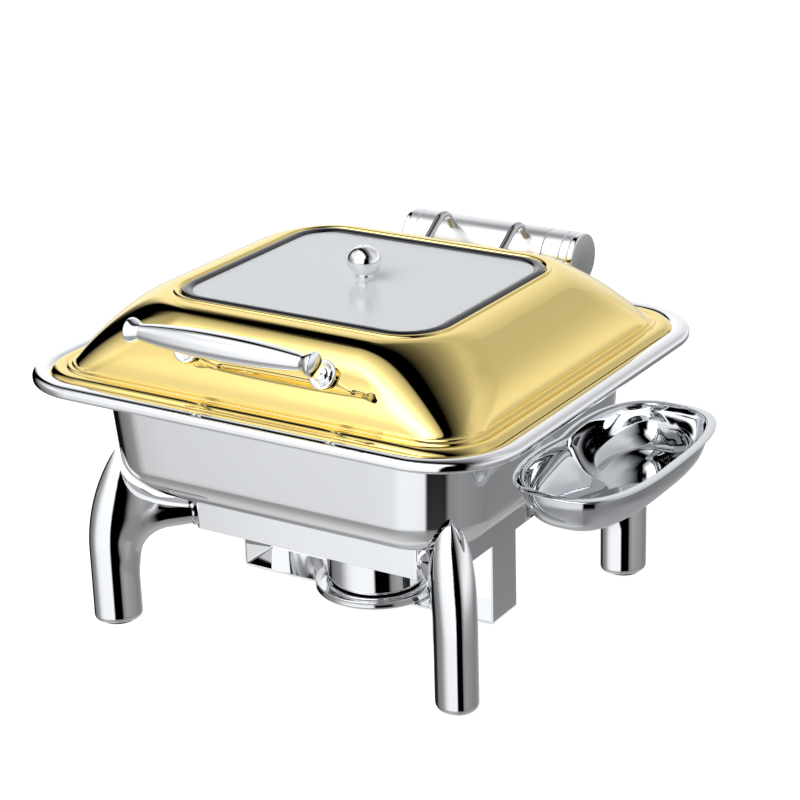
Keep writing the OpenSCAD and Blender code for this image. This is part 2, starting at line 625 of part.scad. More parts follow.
spoon_y = -52;
spoon_w = 30;
spoon_t = 2;
bowl_floor = bowl_z - bowl_deep;
module spoon_bracket() color(steel) place() translate([0, -spoon_y + spoon_w / 2, 0]) difference() {
    rotate([90, 0, 0]) linear_extrude(spoon_w) polygon([
        [frame_w / 2, frame_top - 25], [frame_w / 2 + spoon_t, frame_top - 25],
        [frame_w / 2 + spoon_t, frame_top - 4], [bowl_x - 15, bowl_floor - spoon_t],
        [bowl_x + 14, bowl_floor - spoon_t], [bowl_x + 14, bowl_floor], [bowl_x - 16, bowl_floor],
        [frame_w / 2, frame_top - 2.4]]);
    for (y = [6, spoon_w - 6]) translate([frame_w / 2 - 2, -y, frame_top - 18]) rotate([0, 90, 0])
        cylinder(d = 4.4, h = 8);
}
module spoon_screws() color(steel) place() for (y = [6, spoon_w - 6])
    translate([frame_w / 2 + spoon_t, -spoon_y + spoon_w / 2 - y, frame_top - 18]) rotate([0, 90, 0]) {
        cylinder(d = 8, h = 1.8);
    }

stand_frame();
leg_front_left();
leg_front_right();
leg_rear_left();
leg_rear_right();
foot_pads();
leg_collars();
leg_screws();
burner_bracket();
burner_tray();
fuel_cup();
cup_pivot();
cup_cover();
cup_cover_tab();
water_pan();
food_pan();
hinge_bracket();
hinge_bracket_screws();
hinge_sleeve_left();
hinge_sleeve_right();
hinge_cap_left();
hinge_cap_right();
hinge_pin();
hinge_barrel();
hinge_damper();
arm_left();
arm_right();
arm_nuts();
lid_shell();
window_gasket();
window_glass();
knob();
knob_screw();
handle_grip();
handle_posts();
handle_rosettes();
handle_nuts();
spoon_bowl();
spoon_bracket();
spoon_screws();
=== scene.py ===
import json
import math

import bmesh
import bpy
import numpy as np
from mathutils import Matrix, Vector


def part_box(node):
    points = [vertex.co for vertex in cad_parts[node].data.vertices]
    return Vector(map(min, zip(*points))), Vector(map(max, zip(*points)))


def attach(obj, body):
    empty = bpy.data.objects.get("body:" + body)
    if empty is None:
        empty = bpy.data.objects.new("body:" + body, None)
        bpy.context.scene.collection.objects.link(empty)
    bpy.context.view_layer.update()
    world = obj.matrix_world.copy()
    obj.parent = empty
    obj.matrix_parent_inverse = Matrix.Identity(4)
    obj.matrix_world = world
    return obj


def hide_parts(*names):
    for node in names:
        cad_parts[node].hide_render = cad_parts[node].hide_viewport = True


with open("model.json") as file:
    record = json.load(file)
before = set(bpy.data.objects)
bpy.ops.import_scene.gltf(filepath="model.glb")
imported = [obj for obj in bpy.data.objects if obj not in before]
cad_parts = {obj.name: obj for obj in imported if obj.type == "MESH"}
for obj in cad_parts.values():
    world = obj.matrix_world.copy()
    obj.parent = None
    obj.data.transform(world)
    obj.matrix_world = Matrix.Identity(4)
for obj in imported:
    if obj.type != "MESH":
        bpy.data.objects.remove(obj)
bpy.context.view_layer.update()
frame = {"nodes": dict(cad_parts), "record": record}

# Pieces are drawn in millimetres about the pan's centre, with the table at 0. piece() turns them to metres
MM = 0.001
PAN_LO, PAN_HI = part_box("water_pan")
PAN = Vector(((PAN_LO.x + PAN_HI.x) / 2, (PAN_LO.y + PAN_HI.y) / 2, 0))
RECORD = frame["record"]
BODY = {node: body for body, nodes in RECORD["behaviour"]["bodies"].items() for node in nodes}
SLOT = {part["node"]: part["material_slot"] for part in RECORD["subparts"]}


def span(node):
    """A node's box in millimetres about the pan's centre."""
    lo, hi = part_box(node)
    return (lo - PAN) / MM, (hi - PAN) / MM


# ---- Camera -------------------------------------------------------------------------------------

# The camera stands this many degrees round and above the point it aims at, at a distance in millimetres
CAM_AZ, CAM_EL, CAM_DIST, CAM_ROLL = 30.43, 21.28, 1835.29, -0.95
CAM_AIM = (93.27, 11.51, 170.0)
CAM_SENSOR, CAM_LENS, CAM_SHIFT = 36, 104.62, (-0.0959, 0.0204)


def set_camera():
    """A camera in front, to the right and above, rolled a little."""
    az, el, roll = map(math.radians, (CAM_AZ, CAM_EL, CAM_ROLL))
    back = Vector((math.sin(az) * math.cos(el), -math.cos(az) * math.cos(el), math.sin(el)))
    right = (-back).cross(Vector((0, 0, 1))).normalized()
    up = right.cross(-back)
    side = right * math.cos(roll) + up * math.sin(roll)
    top = up * math.cos(roll) - right * math.sin(roll)
    cam = bpy.data.objects.new("camera", bpy.data.cameras.new("camera"))
    bpy.context.scene.collection.objects.link(cam)
    pos = PAN + (Vector(CAM_AIM) + back * CAM_DIST) * MM
    cam.matrix_world = Matrix.Translation(pos) @ Matrix((side, top, back)).transposed().to_4x4()
    cam.data.sensor_width = CAM_SENSOR
    cam.data.lens = CAM_LENS
    cam.data.shift_x, cam.data.shift_y = CAM_SHIFT
    cam.data.clip_start, cam.data.clip_end = 0.05, 60
    bpy.context.scene.camera = cam


set_camera()


# ---- Node helpers -------------------------------------------------------------------------------

BUMP_DEPTH = 0.0002


class Net:
    """Short calls for a node tree."""

    def __init__(self, tree):
        self.tree = tree
        tree.nodes.clear()

    def add(self, kind, **values):
        node = self.tree.nodes.new(kind)
        for key, value in values.items():
            setattr(node, key, value)
        return node

    def put(self, socket, value):
        """Link an output to the socket, or set the socket to a plain value."""
        if isinstance(value, bpy.types.NodeSocket):
            self.tree.links.new(value, socket)
        else:
            socket.default_value = value

    def math(self, op, *args):
        node = self.add("ShaderNodeMath", operation=op)
        for socket, value in zip(node.inputs, args):
            self.put(socket, value)
        return node.outputs[0]

    def ramp(self, value, a, b, lo=0.0, hi=1.0):
        """From lo to hi, with soft ends, as the value goes from a to b."""
        node = self.add("ShaderNodeMapRange", interpolation_type="SMOOTHSTEP")
        for socket, v in zip(node.inputs, (value, a, b, lo, hi)):
            self.put(socket, v)
        return node.outputs[0]

    def curve(self, value, lo, hi, stops, top):
        """Straight lines through the stops, which run from lo to hi and stay under top."""
        share = self.add("ShaderNodeMapRange")
        for socket, v in zip(share.inputs, (value, lo, hi, 0.0, 1.0)):
            self.put(socket, v)
        node = self.add("ShaderNodeValToRGB")
        self.put(node.inputs[0], share.outputs[0])
        elements = node.color_ramp.elements
        for at, level in stops:
            element = {lo: elements[0], hi: elements[-1]}.get(at) or elements.new((at - lo) / (hi - lo))
            element.color = (level / top,) * 3 + (1,)
        return self.math("MULTIPLY", node.outputs[0], top)

    def mix(self, share, a, b):
        node = self.add("ShaderNodeMix", data_type="FLOAT")
        for socket, v in zip(node.inputs, (share, None, a, b)):
            if v is not None:
                self.put(socket, v)
        return node.outputs[0]

    def noise(self, vector, scale, detail):
        node = self.add("ShaderNodeTexNoise")
        self.put(node.inputs["Vector"], vector)
        node.inputs["Scale"].default_value = scale
        node.inputs["Detail"].default_value = detail
        node.inputs["Roughness"].default_value = 0.55
        return node.outputs["Fac"]

    def stretch(self, vector, scale):
        node = self.add("ShaderNodeMapping")
        self.put(node.inputs["Vector"], vector)
        node.inputs["Scale"].default_value = scale
        return node.outputs[0]

    def bump(self, bsdf, height, strength):
        """Tiny bumps on the shader's normal."""
        node = self.add("ShaderNodeBump")
        node.inputs["Strength"].default_value = strength
        node.inputs["Distance"].default_value = BUMP_DEPTH
        self.put(node.inputs["Height"], height)
        self.put(bsdf.inputs["Normal"], node.outputs[0])

    def finish(self, shader, kind="ShaderNodeOutputMaterial"):
        """Link the shader to the tree's output node."""
        out = self.add(kind)
        self.put(out.inputs[0], shader.outputs[0])


def shaded(name, color):
    """A new material with a Principled shader of this colour: the material, its net and the shader."""
    mat = bpy.data.materials.new(name)
    mat.use_nodes = True
    net = Net(mat.node_tree)
    bsdf = net.add("ShaderNodeBsdfPrincipled")
    bsdf.inputs["Base Color"].default_value = (*color, 1)
    return mat, net, bsdf


# ---- Stage and light ----------------------------------------------------------------------------

FLOOR_R = 24.0


def make_floor():
    """A white floor that glows softly. Glossy surfaces do not see it."""
    mat, net, bsdf = shaded("stage_floor", (0.82, 0.82, 0.82))
    bsdf.inputs["Roughness"].default_value = 0.9
    bsdf.inputs["Emission Color"].default_value = (1, 1, 1, 1)
    bsdf.inputs["Emission Strength"].default_value = 0.75
    net.finish(bsdf)
    bm = bmesh.new()
    bmesh.ops.create_circle(bm, cap_ends=True, radius=FLOOR_R, segments=96)
    mesh = bpy.data.meshes.new("stage_floor")
    bm.to_mesh(mesh)
    bm.free()
    mesh.materials.append(mat)
    floor = bpy.data.objects.new("stage_floor", mesh)
    bpy.context.scene.collection.objects.link(floor)
    floor.visible_glossy = False


# Brightness of the studio round the object. Each row is one elevation, as (azimuth, brightness) with 0 in
# front and 90 at the right: a big soft box front left, a black flag at each side of it, a dim wall behind
STUDIO = [
    (-62, [(-180, .42), (-130, .5), (-110, .75), (-60, .55), (-20, .45), (40, .25), (60, .3), (100, .4),
           (180, .42)]),
    (-38, [(-180, .4), (-140, .5), (-125, .05), (-95, .05), (-85, .25), (-60, .28), (-40, .32), (-20, .4),
           (22, .4), (26, .25), (57, .25), (66, .26), (90, .3), (140, .38), (180, .38)]),
    (-31, [(-180, .4), (-140, .48), (-126, .02), (-97, .02), (-88, .2), (-60, .28), (-46, .5), (-38, .7),
           (-28, .86), (-20, .94), (22, .94), (27, 0), (58, 0), (65, .24), (85, .28), (140, .22),
           (180, .32)]),
    (-20, [(-180, .42), (-150, .45), (-130, .5), (-126, 0), (-98, 0), (-88, .16), (-60, .28), (-48, .6),
           (-36, .92), (-24, 1.0), (24, 1.05), (28, 0), (58, 0), (64, .24), (78, .42), (92, .36), (125, .3),
           (150, .2), (180, .3)]),
    (3, [(-180, .8), (-150, 1.1), (-127, 1.1), (-124, 0), (-104, 0), (-92, .22), (-60, .4), (-30, 1.05),
         (26, 1.1), (30, 0), (60, 0), (66, .3), (80, .8), (92, .95), (180, .95)]),
    (30, [(-180, .66), (-165, .85), (-140, 1.05), (-124, 1.0), (-121, 0), (-108, 0), (-104, .42), (-92, .75),
          (-75, 1.1), (-58, .95), (-45, 1.0), (-37, 1.3), (-30, 2.2), (0, 2.4), (28, 1.8), (34, 0), (60, 0),
          (66, .1), (85, .4), (120, .85), (150, .6), (180, .58)]),
    (48, [(-180, .6), (-150, .62), (-134, .6), (-130, 0), (-113, 0), (-109, .3), (-100, .42), (-90, .55),
          (-82, .8), (-62, .9), (-46, 1.0), (-38, 1.5), (-30, 2.9), (-20, 3.4), (10, 3.3), (36, 1.6), (48, 0),
          (72, 0), (95, .35), (115, .76), (130, .8), (150, .56), (180, .57)]),
]
# Overhead the studio is split by one black strip. OVERHEAD is the brightness by the distance from the strip's
# middle on the unit sphere, positive at the front left, and it takes over between two elevations
STRIP_AZ = -28.0
OVERHEAD_FROM, OVERHEAD_FULL = 48, 58
OVERHEAD = [(-1, .9), (-.63, .72), (-.51, .62), (-.44, .47), (-.36, .32), (-.3, .24), (-.226, .13),
            (-.147, .06), (-.07, 0), (.095, 0), (.125, .45), (.18, .7), (.27, 1.05), (.37, 1.9), (.5, 3.0),
            (1, 3.3)]
BRIGHTEST = 4.0
DEGREES = 180 / math.pi


def make_world():
    """The painted studio, which lights the object. The camera itself sees plain white."""
    world = bpy.data.worlds.new("light_tent")
    bpy.context.scene.world = world
    world.use_nodes = True
    net = Net(world.node_tree)
    xyz = net.add("ShaderNodeSeparateXYZ")
    net.put(xyz.inputs[0], net.add("ShaderNodeTexCoord").outputs["Generated"])
    x, y, z = xyz.outputs
    az = net.math("MULTIPLY", net.math("ARCTAN2", x, net.math("MULTIPLY", y, -1.0)), DEGREES)
    el = net.math("MULTIPLY", net.math("ARCSINE", z), DEGREES)
    light = None
    last = None
    for level, stops in STUDIO:
        row = net.curve(az, -180, 180, stops, BRIGHTEST)
        light = row if light is None else net.mix(net.ramp(el, last, level), light, row)
        last = level
    a = math.radians(STRIP_AZ)
    along = net.math("SUBTRACT", net.math("MULTIPLY", x, math.sin(a)), net.math("MULTIPLY", y, math.cos(a)))
    overhead = net.curve(along, -1, 1, OVERHEAD, BRIGHTEST)
    light = net.mix(net.ramp(el, OVERHEAD_FROM, OVERHEAD_FULL), light, overhead)
    tent = net.add("ShaderNodeBackground")
    net.put(tent.inputs["Strength"], light)
    tent.inputs["Color"].default_value = (0.97, 0.985, 1.0, 1)
    seen = net.add("ShaderNodeBackground")
    seen.inputs["Color"].default_value = (1, 1, 1, 1)
    path = net.add("ShaderNodeLightPath")
    mix = net.add("ShaderNodeMixShader")
    net.put(mix.inputs[0], path.outputs["Is Camera Ray"])
    net.put(mix.inputs[1], tent.outputs[0])
    net.put(mix.inputs[2], seen.outputs[0])
    net.finish(mix, "ShaderNodeOutputWorld")


make_floor()
make_world()
bpy.context.scene.view_settings.view_transform = "Standard"


# ---- Materials ----------------------------------------------------------------------------------

SMUDGE_SCALE, BRUSH_SCALE = 9.0, 60.0


def metal(name, color, rough, smudge=0.03, grain=0.0, grain_scale=(1, 1, 1), bump=0.0):
    """Polished or brushed metal. Smudges vary the gloss, a stretched grain gives the brushing."""
    mat, net, bsdf = shaded(name, color)
    bsdf.inputs["Metallic"].default_value = 1.0
    coord = net.add("ShaderNodeTexCoord").outputs["Object"]
    soft = net.noise(coord, SMUDGE_SCALE, 4.0)
    value = net.ramp(soft, 0.35, 0.75, rough, rough + smudge)
    if grain:
        lines = net.noise(net.stretch(coord, grain_scale), BRUSH_SCALE, 2.0)
        value = net.math("ADD", value, net.ramp(lines, 0.3, 0.7, -grain / 2, grain / 2))
        if bump:
            net.bump(bsdf, lines, bump)
    net.put(bsdf.inputs["Roughness"], value)
    net.finish(bsdf)
    return mat


def solid(name, color, rough, bump, scale, coat=0.0):
    """Rubber or plastic with a fine grain."""
    mat, net, bsdf = shaded(name, color)
    bsdf.inputs["Coat Weight"].default_value = coat
    coord = net.add("ShaderNodeTexCoord").outputs["Object"]
    fine = net.noise(coord, scale, 2.0)
    net.put(bsdf.inputs["Roughness"], net.ramp(fine, 0.3, 0.7, rough * 0.8, rough * 1.2))
    if bump:
        net.bump(bsdf, fine, bump)
    net.finish(bsdf)
    return mat


def glass(name):
    """Window glass: only a little clear and softly glossy, with a pale base colour that is painted reflection
    of the bright studio.
    """
    mat, net, bsdf = shaded(name, (0.86, 0.87, 0.89))
    bsdf.inputs["Alpha"].default_value = 0.88
    coord = net.add("ShaderNodeTexCoord").outputs["Object"]
    net.put(bsdf.inputs["Roughness"], net.ramp(net.noise(coord, 12.0, 4.0), 0.3, 0.8, 0.14, 0.24))
    net.finish(bsdf)
    return mat


# Satin steel and the darker arm and dish steels are looks of the slot polished_steel, for the hinge, the
# lid's
# arms and the spoon dish: they stand in for the dim things that would be near those pieces in a room. The arm
# and dish steels carry painted shade, a darker base colour in place of those dim reflections; the satin steel
# is only rougher
MATERIALS = {
    "polished_steel": metal("polished_steel", (0.95, 0.955, 0.965), 0.02),
    "satin_steel": metal("satin_steel", (0.95, 0.955, 0.965), 0.36),
    "arm_steel": metal("arm_steel", (0.6, 0.61, 0.63), 0.16),
    "dish_steel_painted_shade": metal("dish_steel_painted_shade", (0.76, 0.77, 0.79), 0.03),
    "gold_steel": metal("gold_steel", (1.0, 0.78, 0.29), 0.02),
    "brushed_steel": metal("brushed_steel", (0.74, 0.75, 0.76), 0.22, 0.05, 0.06, (1, 9, 9), 0.02),
    "plain_steel": metal("plain_steel", (0.7, 0.71, 0.72), 0.2, 0.06, 0.03, (8, 8, 1)),
    "black_rubber": solid("black_rubber", (0.012, 0.012, 0.013), 0.55, 0.3, 400.0),
    "black_gasket": solid("black_gasket", (0.008, 0.008, 0.01), 0.12, 0.0, 90.0, 0.6),
    "black_plastic": solid("black_plastic", (0.015, 0.015, 0.016), 0.4, 0.15, 500.0),
    "clear_glass": glass("clear_glass"),
}
for node, obj in frame["nodes"].items():
    obj.data.materials.clear()
    obj.data.materials.append(MATERIALS[SLOT[node]])


# ---- Mesh helpers -------------------------------------------------------------------------------

def piece(name, verts, faces, nodes, material=None, sharp=32.0):
    """A shaded piece that stands for CAD nodes and rides on their body."""
    nodes = [nodes] if isinstance(nodes, str) else list(nodes)
    mesh = bpy.data.meshes.new(name)
    mesh.from_pydata([tuple(PAN + Vector(v) * MM) for v in verts], [], faces)
    bm = bmesh.new()
    bm.from_mesh(mesh)
    bmesh.ops.remove_doubles(bm, verts=bm.verts, dist=1e-6)
    bmesh.ops.recalc_face_normals(bm, faces=bm.faces)
    for face in bm.faces:
        face.smooth = True
    for edge in bm.edges:
        edge.smooth = edge.calc_face_angle(0.0) < math.radians(sharp)
    bm.to_mesh(mesh)
    bm.free()
    mesh.materials.append(material or MATERIALS[SLOT[nodes[0]]])
    obj = bpy.data.objects.new(name, mesh)
    bpy.context.scene.collection.objects.link(obj)
    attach(obj, BODY[nodes[0]])
    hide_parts(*nodes)


def turns(n):
    """Angles of n even steps round a circle."""
    return [2 * math.pi * i / n for i in range(n)]


def grid(rings, loop=False):
    """Vertices and faces of rings of equal length: capped at both ends, or joined from last to first."""
    rings = np.asarray(rings, float)
    m, n = rings.shape[:2]
    faces = []
    for k in range(m if loop else m - 1):
        a, b = k * n, (k + 1) % m * n
        faces += [(a + i, a + (i + 1) % n, b + (i + 1) % n, b + i) for i in range(n)]
    if not loop:
        faces += [tuple(range(n))[::-1], tuple((m - 1) * n + i for i in range(n))]
    return rings.reshape(-1, 3).tolist(), faces


CORNER_N, SIDE_N = 22, 10


def rounded(hx, hy, r, z):
    """Ring round a rounded rectangle, with the same count of points whatever its size."""

    def corner(quarter, turn):
        sx, sy = (1 if quarter in (0, 3) else -1), (1 if quarter < 2 else -1)
        a = math.radians(90 * turn)
        return sx * (hx - r) + r * math.cos(a), sy * (hy - r) + r * math.sin(a), z

    ring = []
    for q in range(4):
        ring += [corner(q, q + i / CORNER_N) for i in range(CORNER_N + 1)]
        end, start = ring[-1], corner((q + 1) % 4, q + 1)
        ring += [tuple(e + (s - e) * (i / SIDE_N) for e, s in zip(end, start)) for i in range(1, SIDE_N)]
    return ring


def bead(p0, p1, sag, n=8):
    """Points of a shallow arc from p0 to p1 whose middle stands sag to the left."""
    (x0, y0), (x1, y1) = p0, p1
    length = math.hypot(x1 - x0, y1 - y0)
    nx, ny = -(y1 - y0) / length, (x1 - x0) / length
    points = []
    for i in range(n + 1):
        t = i / n
        points.append((x0 + (x1 - x0) * t + nx * sag * 4 * t * (1 - t),
                       y0 + (y1 - y0) * t + ny * sag * 4 * t * (1 - t)))
    return points


def joined(*runs):
    """Runs of points one after the other, without their repeated joints."""
    points = []
    for run in runs:
        for p in run:
            if not points or math.dist(points[-1], p) > 1e-4:
                points.append(p)
    return points


def lathe(profile, place, n, loop=False):
    """Profile of (radius, height) turned round Z and then put in place."""
    rings = []
    for radius, h in profile:
        r = max(radius, 1e-4)
        rings.append([tuple(place @ Vector((r * math.cos(a), r * math.sin(a), h))) for a in turns(n)])
    return grid(rings, loop)


def upright(node):
    """A round node that stands up: its foot's place, its radius and its height."""
    lo, hi = span(node)
    return Matrix.Translation(((lo.x + hi.x) / 2, (lo.y + hi.y) / 2, lo.z)), (hi.x - lo.x) / 2, hi.z - lo.z


def along_x(x, y, z, quarter=1):
    """A place whose Z axis points along X, or against it when quarter is -1."""
    return Matrix.Translation((x, y, z)) @ Matrix.Rotation(math.radians(90 * quarter), 4, "Y")


# ---- Lid ----------------------------------------------------------------------------------------

RIM_TOP = span("water_pan")[1].z
RIM_X, RIM_Y = span("water_pan")[1].x, span("water_pan")[1].y
LID_X, LID_Y, LID_Z = span("lid_shell")[1].x, span("lid_shell")[1].y, span("lid_shell")[0].z
GLASS_X, GLASS_Y, GASKET_TOP = span("window_gasket")[1]
# The lid's corner, and how far in from its edge and up from its foot the dome starts
LID_CORNER, DOME_IN, DOME_UP = 47.0, 16.2, 6.6
# The crown is the bead round the window. The dome reaches it at this height and this far outside the gasket
DOME_TOP, RING_OUT = GASKET_TOP - 1.8, 10.0
GASKET_CORNER = 35.5
DOME_CORNER, DOME_BULGE, DOME_POWER = 39.0, 30.0, 1.266
DOME_N = 44
SHEET = 1.2
# The pane's top lies this much under the CAD pane's, and the seal reaches this far in from the gasket's edge
PANE_SUNK, SEAL_IN = 1.6, -9.0


def lid_ring(inset, up):
    """Ring inside the lid's outer edge, above the lid's foot."""
    return rounded(LID_X - inset, LID_Y - inset, LID_CORNER - inset * 0.8, LID_Z + up)


def dome_ring(t, skin=0.0):
    """Ring on the dome, from its foot at t = 0 to its top at t = 1, or on its inner skin."""
    a = math.radians(90 * t)
    c, s = max(math.cos(a), 0) ** DOME_POWER, math.sin(a) ** DOME_POWER
    ox, oy = GLASS_X + RING_OUT, GLASS_Y + RING_OUT
    inward = skin * math.cos(a)
    top_corner = GASKET_CORNER + RING_OUT
    r = DOME_CORNER + (top_corner - DOME_CORNER) * (1 - c) + DOME_BULGE * math.sin(2 * a) - inward
    base = LID_Z + DOME_UP
    return rounded(ox + (LID_X - DOME_IN - ox) * c - inward, oy + (LID_Y - DOME_IN - oy) * c - inward,
                   r, base + (DOME_TOP - base) * s - skin * math.sin(a))


def glass_ring(out, z):
    """Ring outside the gasket's edge, or inside where out is negative."""
    return rounded(GLASS_X + out, GLASS_Y + out, GASKET_CORNER + out, z)


def make_lid():
    brim = joined(bead((0.5, 0), (0.1, 1.0), 0.15, 4), bead((0.1, 1.0), (10.6, 4.0), 1.5, 18),
                  bead((10.6, 4.0), (11.6, 4.1), -0.4, 4), bead((11.6, 4.1), (13.8, 5.0), 0.6, 8),
                  bead((13.8, 5.0), (DOME_IN - 0.02, DOME_UP - 0.3), -0.5, 6))
    rings = [lid_ring(*p) for p in brim]
    rings += [dome_ring(i / DOME_N) for i in range(DOME_N + 1)]
    crown = joined(bead((RING_OUT - 0.3, DOME_TOP + 0.02), (6.0, GASKET_TOP - 1.75), -0.2, 6),
                   bead((6.0, GASKET_TOP - 1.75), (1.2, GASKET_TOP - 1.6), -1.3, 14)[1:],
                   [(0.5, GASKET_TOP - 2.4), (0.35, GASKET_TOP - 4.6), (-10.5, GASKET_TOP - 4.6),
                    (-10.5, GASKET_TOP - 5.8), (1.7, GASKET_TOP - 5.8)])
    rings += [glass_ring(*p) for p in crown]
    rings += [dome_ring(1 - i / DOME_N, SHEET) for i in range(DOME_N + 1)]
    rings += [lid_ring(DOME_IN + SHEET, 2), lid_ring(DOME_IN + SHEET - 1, 0)]
    piece("lid_dome", *grid(rings, loop=True), "lid_shell")


def make_window():
    foot, top = span("window_glass")[0].z, span("window_glass")[1].z - PANE_SUNK
    low, high = GASKET_TOP - 4.4, GASKET_TOP - 1.9
    seal = joined([(-6.2, low), (-0.1, low)], bead((-0.1, high), (SEAL_IN + 0.2, high), -1.8, 20),
                  [(SEAL_IN, top)])
    piece("window_seal", *grid([glass_ring(*p) for p in seal], loop=True), "window_gasket")
    pane = [(SEAL_IN, foot), (-6.5, foot), (-6.25, foot + 0.3), (-6.25, top - 0.3), (-6.5, top)]
    piece("window_pane", *grid([glass_ring(*p) for p in pane]), "window_glass")


make_lid()
make_window()


# ---- Pans ---------------------------------------------------------------------------------------

RIM_CORNER = 68.0
BODY_X, BODY_Y, BODY_CORNER = 170.0, 152.0, 52.0
# The body's round lower edge: how far in it goes, its height, the walls' taper and the corner's change
BODY_UNDER, BODY_ROUND, BODY_TAPER, BODY_SHARPEN = 57.0, 37.0, 4.5, 20
BODY_N = 26
FOOD_CORNER = 55


def rim_ring(inset, up):
    """Ring inside the rim's outer edge, above its top where up is positive."""
    return rounded(RIM_X - inset, RIM_Y - inset, RIM_CORNER - inset * 1.25, RIM_TOP + up)


def body_ring(inset, r, z):
    return rounded(BODY_X - inset, BODY_Y - inset, r, z)


def pan_under(skin):
    """The rounded lower part of the pan's body, from the bottom up, or its inner skin."""
    foot = span("water_pan")[0].z
    rings = []
    for i in range(BODY_N + 1):
        a = math.radians(90 * i / BODY_N)
        side = 1 - math.sin(a)
        rings.append(body_ring(BODY_TAPER + skin + (BODY_UNDER - skin) * side,
                               BODY_CORNER - skin - BODY_SHARPEN * side,
                               foot + skin + (BODY_ROUND - skin) * (1 - math.cos(a))))
    return rings


def make_water_pan():
    rings = pan_under(0.0)
    rings += [body_ring(0.4, BODY_CORNER, RIM_TOP - 16.5), body_ring(0.2, BODY_CORNER, RIM_TOP - 13)]
    neck = ((0.1, 11), (0.8, 9.4), (2.4, 8.5), (5, 8.2))
    rings += [body_ring(-out, BODY_CORNER + out * 0.4, RIM_TOP - down) for out, down in neck]
    rim = joined(bead((24, -8.1), (8, -8.2), 0.2, 4), bead((8, -8.2), (5.2, -9.4), -0.3, 4),
                 bead((5.2, -9.4), (2.2, -9.3), 0.5, 4), bead((2.2, -9.3), (0.1, -6.2), 0.75, 8),
                 bead((0.1, -6.2), (3.0, -1.2), 1.0, 10), bead((3.0, -1.2), (10.0, -0.15), 0.5, 10),
                 bead((10.0, -0.15), (15.6, -2.0), 0.45, 8), bead((15.6, -2.0), (18.0, -2.9), -0.25, 5),
                 [(32.9, -2.9)], bead((33.3, -3.1), (34.0, -6.1), 0.2, 4))
    rings += [rim_ring(*p) for p in rim]
    inner = ((SHEET + 0.2, 6.3), (SHEET + 0.6, 16))
    rings += [body_ring(inset, BODY_CORNER - SHEET, RIM_TOP - down) for inset, down in inner]
    rings += pan_under(SHEET)[::-1]
    piece("water_pan_body", *grid(rings), "water_pan")


def make_food_pan():
    lo, hi = span("food_pan")
    top = hi.z

    def ring(inset, z):
        return rounded(hi.x - inset, hi.y - inset, FOOD_CORNER - inset * 0.42, z)

    wall = joined([(60, lo.z), (30, lo.z)], bead((30, lo.z), (16.5, lo.z + 11), 3.4, 8),
                  [(12.6, top - 4)], bead((12.6, top - 4), (10.6, top - 1), 0.5, 5), [(0.4, top - 1)],
                  bead((0.4, top - 1), (0.4, top), 0.4, 5), [(10.6, top)],
                  bead((10.6, top), (13.8, top - 1.6), -0.7, 6), [(17.5, lo.z + 11.5)],
                  bead((17.5, lo.z + 11.5), (30, lo.z + 1), -3.2, 8), [(60, lo.z + 1)])
    piece("food_pan_body", *grid([ring(*p) for p in wall]), "food_pan")


make_water_pan()
make_food_pan()


# ---- Legs ---------------------------------------------------------------------------------------

# A leg is a horn with an arm. In its own frame U runs from the leg to the frame, V across and Z up
PAD_R, LEG_DEEP, LEG_ACROSS, LEG_TIP, PAD_H = 13.6, 19.5, 16.6, 147.0, 0.8
# The horn's outer side leans in by LEAN at the tip, on an arc that starts at LEAN_Z
LEAN_Z, LEAN = 62.0, 23.3
# The horn narrows across from TAPER_Z to its tip
TAPER_Z, TAPER_POWER = 90, 2.4
TAPER_OVER = LEG_TIP - 89.1
# The web reaches this far in from the horn and comes in over this height, from this far under the frame's top
WEB, WEB_UNDER, WEB_RISE = 19, 34, 24
# The horn's inner side swells by SWELL above SWELL_Z
SWELL, SWELL_Z = 4, 50
# The arm bends from the horn's middle up into the collar at the frame's cut corner
BEND_R, BEND_U, ARM_DROP, ARM_R = 37.0, 7.4, 16.8, 11.7
# It is thicker by ARM_FLARE near the horn, and thins by ARM_THIN as it runs down inside the horn
ARM_FLARE, ARM_THIN = 1.5, 12
# Rounding where horn and arm meet and at the foot, and at the arm's end
BLEND, END_BLEND = 5.0, 0.8
# The hollow for the pan: where it starts, how it widens downwards, and the ridge that its lower edge follows
SCOOP_U, SCOOP_WIDE, SCOOP_FALL = 7.7, 21.3, 10.5
DIP, DIP_HALF = 3.2, 12.5
VOXEL = 1.5
CHAMFER, COLLAR = 20.7, 2.8
FRAME_LO, FRAME_HI = span("stand_frame")
LEG_X, LEG_Y = span("foot_pads")[1].x - PAD_R, span("foot_pads")[1].y - PAD_R
ARM_Z = FRAME_HI.z - ARM_DROP
ARM_END = (LEG_X + LEG_Y - FRAME_HI.x - FRAME_HI.y + CHAMFER) / math.sqrt(2) - COLLAR
# Each leg's side in X and Y, and its turn about Z
LEGS = {"leg_front_left": (-1, -1, 45), "leg_front_right": (1, -1, 135),
        "leg_rear_left": (-1, 1, -45), "leg_rear_right": (1, 1, 225)}


def blend_min(a, b, k):
    """The lower of two fields, rounded off over k where they meet."""
    h = np.clip(0.5 + 0.5 * (b - a) / k, 0, 1)
    return b + (a - b) * h - k * h * (1 - h)


def smooth(t):
    t = np.clip(t, 0, 1)
    return t * t * (3 - 2 * t)


def horn_outer(z):
    """U of the horn's outer side."""
    r = (LEAN ** 2 + (LEG_TIP - 5 - LEAN_Z) ** 2) / (2 * LEAN)
    return -LEG_DEEP + r - np.sqrt(np.maximum(r * r - np.maximum(z - LEAN_Z, 0) ** 2, 1))


